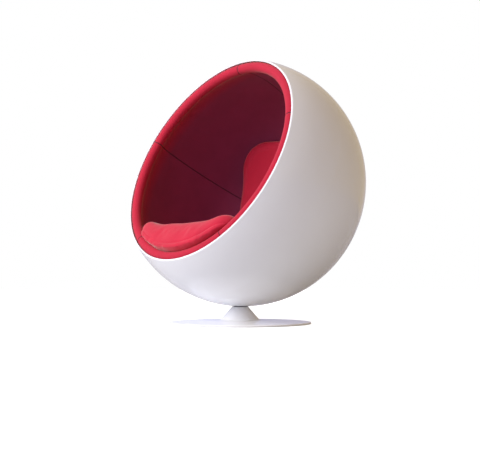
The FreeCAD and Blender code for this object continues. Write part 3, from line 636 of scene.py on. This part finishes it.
class POD_OT_make_cushions(bpy.types.Operator):
    """Fill and sew the seat cushion and the back cushion"""

    bl_idname = "pod.make_cushions"
    bl_label = "Make cushions"

    def execute(self, context):
        cloth = wool("cushion wool", colours().cushion, 0.45)
        upholster("seat_cushion", "seat_cushion_foam",
                  ("seat_cushion_top_cover", "seat_cushion_base_cover"),
                  math.radians(-32), 0.022, 0.014, 0.0, cloth)
        upholster("back_cushion", "back_cushion_foam",
                  ("back_cushion_front_cover", "back_cushion_rear_cover"),
                  math.radians(84), 0.026, 0.0, 0.09, cloth)
        return {"FINISHED"}


def lamp(name, place, target, width, power, colour):
    """A soft square lamp aimed at a point."""
    light = bpy.data.lights.new(name, "AREA")
    light.shape = "SQUARE"
    light.size = width
    light.energy = power
    light.color = colour
    thing = bpy.data.objects.new(name, light)
    thing.location = place
    thing.rotation_euler = (Vector(target) - Vector(place)).to_track_quat("-Z", "Y").to_euler()
    bpy.context.scene.collection.objects.link(thing)


def sky():
    """White where the camera looks, and a soft room round the chair for everything else."""
    world = bpy.data.worlds.new("studio")
    bpy.context.scene.world = world
    world.use_nodes = True
    tree = world.node_tree
    tree.nodes.clear()
    output = tree.nodes.new("ShaderNodeOutputWorld")
    seen = tree.nodes.new("ShaderNodeBackground")
    seen.inputs["Color"].default_value = (1.0, 1.0, 1.0, 1.0)
    room = tree.nodes.new("ShaderNodeBackground")
    place = tree.nodes.new("ShaderNodeTexCoord")
    across = tree.nodes.new("ShaderNodeVectorMath")
    across.operation = "DOT_PRODUCT"
    tree.links.new(place.outputs["Generated"], across.inputs[0])
    across.inputs[1].default_value = ROOM_SIDE
    side = tree.nodes.new("ShaderNodeMath")
    side.operation = "MULTIPLY_ADD"
    tree.links.new(across.outputs["Value"], side.inputs[0])
    side.inputs[1].default_value = 0.5
    side.inputs[2].default_value = 0.5
    ramp = tree.nodes.new("ShaderNodeValToRGB")
    tree.links.new(side.outputs["Value"], ramp.inputs["Fac"])
    stops = ramp.color_ramp.elements
    for position, colour in ROOM_STOPS.items():
        held = [stop for stop in stops if stop.position == position]
        stop = held[0] if held else stops.new(position)
        stop.color = colour
    tree.links.new(ramp.outputs["Color"], room.inputs["Color"])
    room.inputs["Strength"].default_value = ROOM_LIGHT
    rays = tree.nodes.new("ShaderNodeLightPath")
    mix = tree.nodes.new("ShaderNodeMixShader")
    tree.links.new(rays.outputs["Is Camera Ray"], mix.inputs["Fac"])
    tree.links.new(room.outputs["Background"], mix.inputs[1])
    tree.links.new(seen.outputs["Background"], mix.inputs[2])
    tree.links.new(mix.outputs["Shader"], output.inputs["Surface"])


def floor_paint():
    """Pale floor that keeps the chair's shadow and shows white to the camera."""
    paint = Shader("floor paint", colours().floor, 0.6)
    paint.colour_from(paint.mix(paint.noise(3.0), shade(colours().floor, 0.98), colours().floor))
    rays = paint.node("ShaderNodeLightPath")
    glow = paint.node("ShaderNodeEmission")
    glow.inputs["Color"].default_value = (1.0, 1.0, 1.0, 1.0)
    lift = paint.node("ShaderNodeMath", operation="MULTIPLY")
    lift.inputs[1].default_value = FLOOR_GLOW
    paint.link(rays.outputs["Is Camera Ray"], lift.inputs[0])
    paint.link(lift.outputs["Value"], glow.inputs["Strength"])
    both = paint.node("ShaderNodeAddShader")
    output = [node for node in paint.tree.nodes if node.type == "OUTPUT_MATERIAL"][0]
    paint.link(paint.surface.outputs["BSDF"], both.inputs[0])
    paint.link(glow.outputs["Emission"], both.inputs[1])
    paint.link(both.outputs["Shader"], output.inputs["Surface"])
    return paint.material


class POD_OT_set_stage(bpy.types.Operator):
    """Lay the floor, hang the lamps and place the camera"""

    bl_idname = "pod.set_stage"
    bl_label = "Set stage"

    def execute(self, context):
        scene = context.scene
        bm = bmesh.new()
        bmesh.ops.create_circle(bm, cap_ends=True, segments=96, radius=14.0)
        mesh = bpy.data.meshes.new("studio_floor")
        bm.to_mesh(mesh)
        bm.free()
        floor = bpy.data.objects.new("studio_floor", mesh)
        scene.collection.objects.link(floor)
        mesh.materials.append(floor_paint())
        sky()
        lamp("key", (-1.2, -4.2, 3.0), (0, 0, 0.6), 2.4, 250.0, (1.0, 0.99, 0.97))
        lamp("fill", (4.0, -1.6, 2.4), (0, 0, 0.6), 2.0, 5.0, (1.0, 0.93, 0.84))
        eye = bpy.data.cameras.new("photo_camera")
        eye.sensor_width = 36.0
        eye.lens = CAMERA_LENS
        eye.shift_y = CAMERA_SHIFT
        eye.clip_end = 100.0
        camera = bpy.data.objects.new("photo_camera", eye)
        camera.location = CAMERA_PLACE
        camera.rotation_euler = CAMERA_TURN
        scene.collection.objects.link(camera)
        scene.camera = camera
        scene.view_settings.view_transform = "Standard"
        return {"FINISHED"}


class POD_PT_chair(bpy.types.Panel):
    """Buttons that build the chair's pieces"""

    bl_idname = "POD_PT_chair"
    bl_label = "Pod chair"
    bl_space_type = "VIEW_3D"
    bl_region_type = "UI"
    bl_category = "Pod chair"

    def draw(self, context):
        for operator in STEPS:
            self.layout.operator(operator.bl_idname)
        for group in ("pod_ball", "pod_lining", "pod_cushions", "pod_colours"):
            held = getattr(context.scene, group)
            for name in held.__annotations__:
                self.layout.prop(held, name)


GROUPS = {"pod_ball": BallSizes, "pod_lining": LiningSizes, "pod_cushions": CushionSizes,
          "pod_colours": FinishColours}
STEPS = (POD_OT_finish_hardware, POD_OT_line_ball, POD_OT_make_cushions, POD_OT_set_stage)


def register():
    for name, group in GROUPS.items():
        bpy.utils.register_class(group)
        setattr(bpy.types.Scene, name, PointerProperty(type=group))
    for operator in STEPS + (POD_PT_chair,):
        bpy.utils.register_class(operator)


def unregister():
    for operator in reversed(STEPS + (POD_PT_chair,)):
        bpy.utils.unregister_class(operator)
    for name, group in GROUPS.items():
        delattr(bpy.types.Scene, name)
        bpy.utils.unregister_class(group)


def main():
    register()
    bpy.ops.pod.finish_hardware()
    bpy.ops.pod.line_ball()
    bpy.ops.pod.make_cushions()
    bpy.ops.pod.set_stage()


if __name__ == "__main__":
    main()
